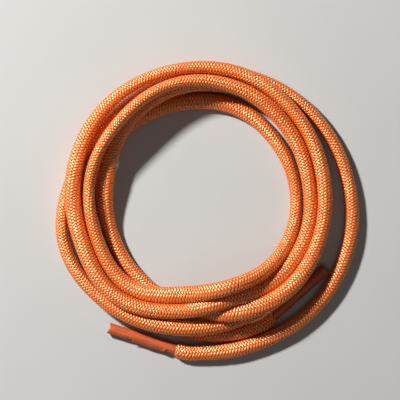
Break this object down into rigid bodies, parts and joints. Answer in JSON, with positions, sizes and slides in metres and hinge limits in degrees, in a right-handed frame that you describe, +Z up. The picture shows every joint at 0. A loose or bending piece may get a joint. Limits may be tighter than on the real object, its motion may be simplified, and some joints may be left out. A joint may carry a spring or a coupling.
{
  "type": "bootlace",
  "caption": "Round braided boot lace lying in a loose coil, with a film aglet on each end for threading through eyelets.",
  "frame": {"origin": "middle of the coil's box, on the surface that the lace lies on", "axes": "+Z up, the coil winds anticlockwise about +Z, and both aglets lie on its -Y side"},
  "size_m": [0.1062, 0.104, 0.018],
  "materials": {
    "sheath_braid": "glossy filament polyester, round braid",
    "core_yarn": "undyed filler yarn",
    "aglet_film": "smooth tinted film"
  },
  "bodies": {
    "root": {"braided_sheath": "sheath_braid", "core_yarn_1": "core_yarn", "core_yarn_2": "core_yarn", "core_yarn_3": "core_yarn", "core_yarn_4": "core_yarn", "aglet_1": "aglet_film", "aglet_2": "aglet_film"}
  },
  "joints": []
}
